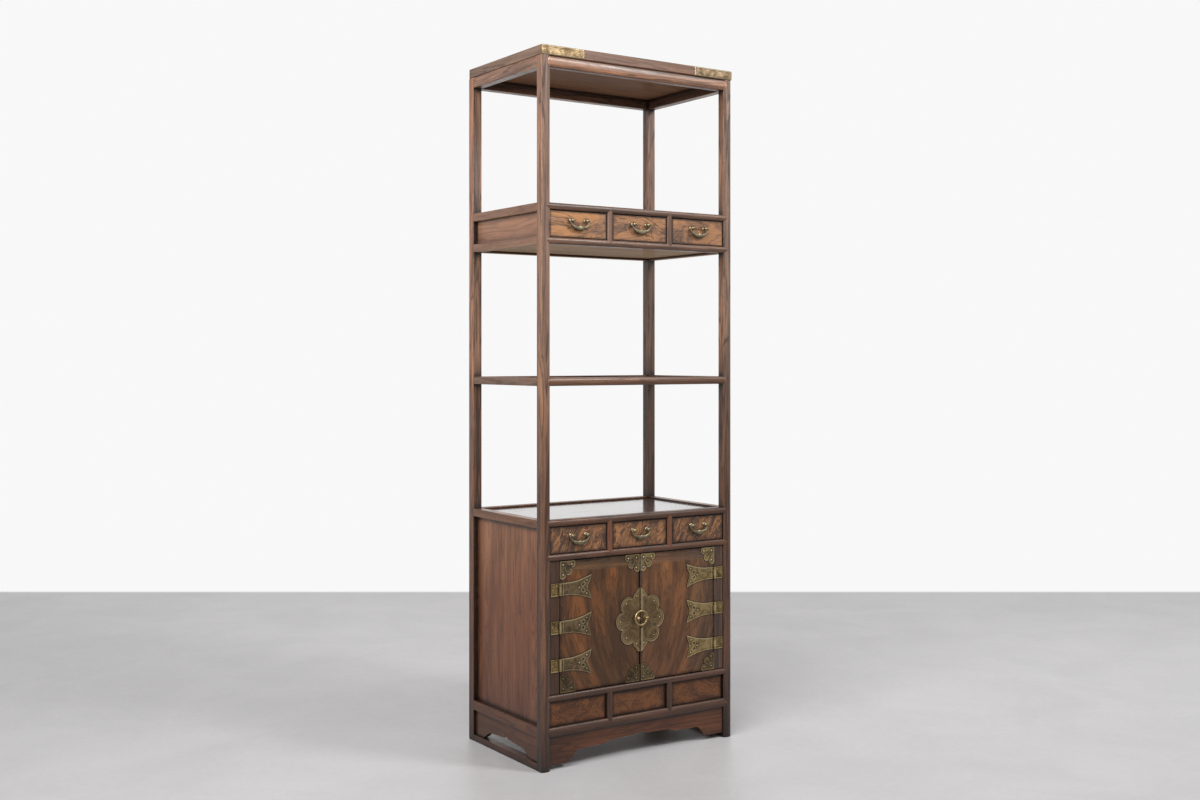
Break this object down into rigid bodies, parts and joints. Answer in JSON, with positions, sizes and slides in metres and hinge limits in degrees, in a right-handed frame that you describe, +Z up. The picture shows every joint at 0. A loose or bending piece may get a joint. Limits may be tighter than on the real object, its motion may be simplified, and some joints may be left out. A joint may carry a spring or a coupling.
{
  "type": "display cabinet",
  "caption": "Tall open display stand with drawer tiers, an open shelf and a cupboard with brass strap hinges, a flower lock plate and a latch ring, on a shaped base.",
  "frame": {"origin": "centre of the footprint on the floor, hardware counted", "axes": "+Z up, +X to the right as seen from the front, -Y out of the front"},
  "size_m": [0.54, 0.3476, 1.62],
  "materials": {
    "frame_wood": "satin",
    "panel_wood": "satin",
    "dark_wood": "satin",
    "upper_drawer_wood": "satin",
    "lower_drawer_wood": "satin",
    "door_wood": "satin",
    "brass": "aged"
  },
  "bodies": {
    "carcass": {"post_front_left": "frame_wood", "post_front_right": "frame_wood", "post_back_left": "frame_wood", "post_back_right": "frame_wood", "top_board": "frame_wood", "top_front_rail": "frame_wood", "top_back_rail": "frame_wood", "top_left_rail": "frame_wood", "top_right_rail": "frame_wood", "upper_drawer_frame": "frame_wood", "upper_left_side": "frame_wood", "upper_right_side": "frame_wood", "shelf_front_rail": "frame_wood", "shelf_board": "frame_wood", "lower_drawer_frame": "frame_wood", "base_frame": "frame_wood", "front_apron": "frame_wood", "stretcher_left": "frame_wood", "stretcher_right": "frame_wood", "upper_back": "panel_wood", "upper_case_top": "panel_wood", "upper_case_floor": "panel_wood", "base_board": "panel_wood", "lower_left_side": "panel_wood", "lower_right_side": "panel_wood", "lower_back": "panel_wood", "lower_case_top": "panel_wood", "drawer_board": "panel_wood", "cupboard_floor": "panel_wood", "stile_left": "dark_wood", "stile_right": "dark_wood", "hinge_leaf_left_top": "brass", "hinge_leaf_left_middle": "brass", "hinge_leaf_left_bottom": "brass", "hinge_leaf_right_top": "brass", "hinge_leaf_right_middle": "brass", "hinge_leaf_right_bottom": "brass"},
    "upper_drawer_left": {"upper_drawer_left": "upper_drawer_wood"},
    "upper_bail_left": {"upper_bail_left": "brass"},
    "upper_drawer_middle": {"upper_drawer_middle": "upper_drawer_wood"},
    "upper_bail_middle": {"upper_bail_middle": "brass"},
    "upper_drawer_right": {"upper_drawer_right": "upper_drawer_wood"},
    "upper_bail_right": {"upper_bail_right": "brass"},
    "lower_drawer_left": {"lower_drawer_left": "lower_drawer_wood"},
    "lower_bail_left": {"lower_bail_left": "brass"},
    "lower_drawer_middle": {"lower_drawer_middle": "lower_drawer_wood"},
    "lower_bail_middle": {"lower_bail_middle": "brass"},
    "lower_drawer_right": {"lower_drawer_right": "lower_drawer_wood"},
    "lower_bail_right": {"lower_bail_right": "brass"},
    "door_left": {"door_left": "door_wood", "hinge_strap_left_top": "brass", "hinge_strap_left_middle": "brass", "hinge_strap_left_bottom": "brass", "lock_plate_left": "brass"},
    "door_right": {"door_right": "door_wood", "hinge_strap_right_top": "brass", "hinge_strap_right_middle": "brass", "hinge_strap_right_bottom": "brass", "lock_plate_right": "brass"},
    "latch_ring": {"latch_ring": "brass"}
  },
  "joints": [
    {"name": "upper_drawer_left_slide", "type": "slide", "parent": "carcass", "child": "upper_drawer_left", "axis": [0, -1, 0], "range_m": [0, 0.2]},
    {"name": "upper_bail_left_swing", "type": "hinge", "parent": "upper_drawer_left", "child": "upper_bail_left", "pos_m": [-0.17033, -0.16673, 1.232], "axis": [-1, 0, 0], "range_deg": [0, 100]},
    {"name": "upper_drawer_middle_slide", "type": "slide", "parent": "carcass", "child": "upper_drawer_middle", "axis": [0, -1, 0], "range_m": [0, 0.2]},
    {"name": "upper_bail_middle_swing", "type": "hinge", "parent": "upper_drawer_middle", "child": "upper_bail_middle", "pos_m": [0, -0.16673, 1.232], "axis": [-1, 0, 0], "range_deg": [0, 100]},
    {"name": "upper_drawer_right_slide", "type": "slide", "parent": "carcass", "child": "upper_drawer_right", "axis": [0, -1, 0], "range_m": [0, 0.2]},
    {"name": "upper_bail_right_swing", "type": "hinge", "parent": "upper_drawer_right", "child": "upper_bail_right", "pos_m": [0.17033, -0.16673, 1.232], "axis": [-1, 0, 0], "range_deg": [0, 100]},
    {"name": "lower_drawer_left_slide", "type": "slide", "parent": "carcass", "child": "lower_drawer_left", "axis": [0, -1, 0], "range_m": [0, 0.2]},
    {"name": "lower_bail_left_swing", "type": "hinge", "parent": "lower_drawer_left", "child": "lower_bail_left", "pos_m": [-0.17033, -0.16673, 0.522], "axis": [-1, 0, 0], "range_deg": [0, 100]},
    {"name": "lower_drawer_middle_slide", "type": "slide", "parent": "carcass", "child": "lower_drawer_middle", "axis": [0, -1, 0], "range_m": [0, 0.2]},
    {"name": "lower_bail_middle_swing", "type": "hinge", "parent": "lower_drawer_middle", "child": "lower_bail_middle", "pos_m": [0, -0.16673, 0.522], "axis": [-1, 0, 0], "range_deg": [0, 100]},
    {"name": "lower_drawer_right_slide", "type": "slide", "parent": "carcass", "child": "lower_drawer_right", "axis": [0, -1, 0], "range_m": [0, 0.2]},
    {"name": "lower_bail_right_swing", "type": "hinge", "parent": "lower_drawer_right", "child": "lower_bail_right", "pos_m": [0.17033, -0.16673, 0.522], "axis": [-1, 0, 0], "range_deg": [0, 100]},
    {"name": "door_left_hinge", "type": "hinge", "parent": "carcass", "child": "door_left", "pos_m": [-0.2207, -0.16273, 0.3175], "axis": [0, 0, -1], "range_deg": [0, 150]},
    {"name": "door_right_hinge", "type": "hinge", "parent": "carcass", "child": "door_right", "pos_m": [0.2207, -0.16273, 0.3175], "axis": [0, 0, 1], "range_deg": [0, 150]},
    {"name": "latch_ring_swing", "type": "hinge", "parent": "door_right", "child": "latch_ring", "pos_m": [0.0135, -0.16873, 0.3175], "axis": [0, 0, 1], "range_deg": [0, 150]}
  ]
}
